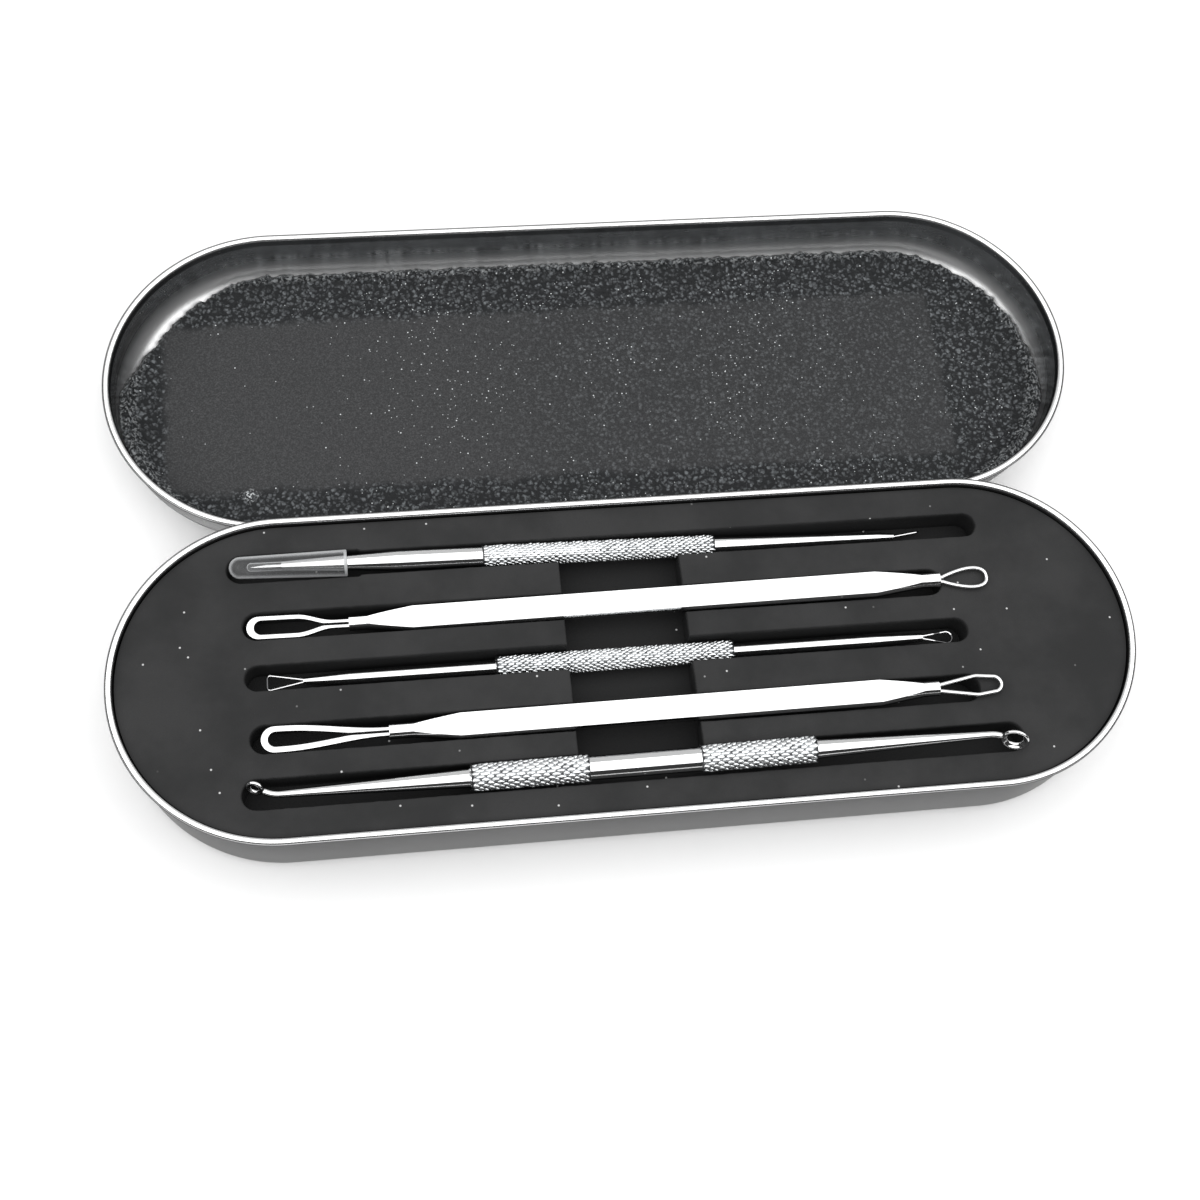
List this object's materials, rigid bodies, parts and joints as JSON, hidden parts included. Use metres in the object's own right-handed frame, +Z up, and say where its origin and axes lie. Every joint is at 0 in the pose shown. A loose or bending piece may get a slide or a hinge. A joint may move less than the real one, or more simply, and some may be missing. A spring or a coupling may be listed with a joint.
{
  "type": "blackhead extractor set",
  "caption": "Oval hinged tin with a foam tray of double-ended stainless blackhead extractors, shown open with its lid laid flat.",
  "frame": {"origin": "middle of the base's underside, on the table", "axes": "+X along the tin, towards the end where the lancet tool has its wire loop; +Y from the base to the open lid; +Z up"},
  "size_m": [0.1738, 0.1151, 0.0203],
  "materials": {
    "tinplate": "satin",
    "polished_steel": "polished",
    "knurled_steel": "knurled",
    "tray_foam": "closed-cell foam, matt",
    "lid_sponge": "open-cell sponge",
    "clear_cap": "clear soft plastic"
  },
  "bodies": {
    "base": {"base_tin": "tinplate", "tray_foam": "tray_foam", "tray_backing": "tray_foam"},
    "lid": {"lid_tin": "tinplate", "lid_foam": "lid_sponge"},
    "lancet_tool": {"lancet_rod": "polished_steel", "lancet_grip": "knurled_steel", "lancet_needle": "polished_steel", "lancet_loop": "polished_steel", "lancet_cap": "clear_cap"},
    "teardrop_tool": {"teardrop_bar": "polished_steel", "teardrop_ribbon_loop": "polished_steel", "teardrop_wire_loop": "polished_steel"},
    "fine_tool": {"fine_rod": "polished_steel", "fine_grip": "knurled_steel", "fine_triangle_loop": "polished_steel", "fine_round_loop": "polished_steel"},
    "long_tool": {"long_bar": "polished_steel", "long_ribbon_loop": "polished_steel", "long_wire_loop": "polished_steel"},
    "scoop_tool": {"scoop_rod": "polished_steel", "scoop_left_grip": "knurled_steel", "scoop_right_grip": "knurled_steel"}
  },
  "joints": [
    {"name": "lid_hinge", "type": "hinge", "parent": "base", "child": "lid", "pos_m": [0, 0.0289, 0.011], "axis": [-1, 0, 0], "range_deg": [-180, 0]},
    {"name": "lancet_lift", "type": "slide", "parent": "base", "child": "lancet_tool", "axis": [0, 0, 1], "range_m": [0, 0.03]},
    {"name": "teardrop_lift", "type": "slide", "parent": "base", "child": "teardrop_tool", "axis": [0, 0, 1], "range_m": [0, 0.03]},
    {"name": "fine_lift", "type": "slide", "parent": "base", "child": "fine_tool", "axis": [0, 0, 1], "range_m": [0, 0.03]},
    {"name": "long_lift", "type": "slide", "parent": "base", "child": "long_tool", "axis": [0, 0, 1], "range_m": [0, 0.03]},
    {"name": "scoop_lift", "type": "slide", "parent": "base", "child": "scoop_tool", "axis": [0, 0, 1], "range_m": [0, 0.03]}
  ]
}
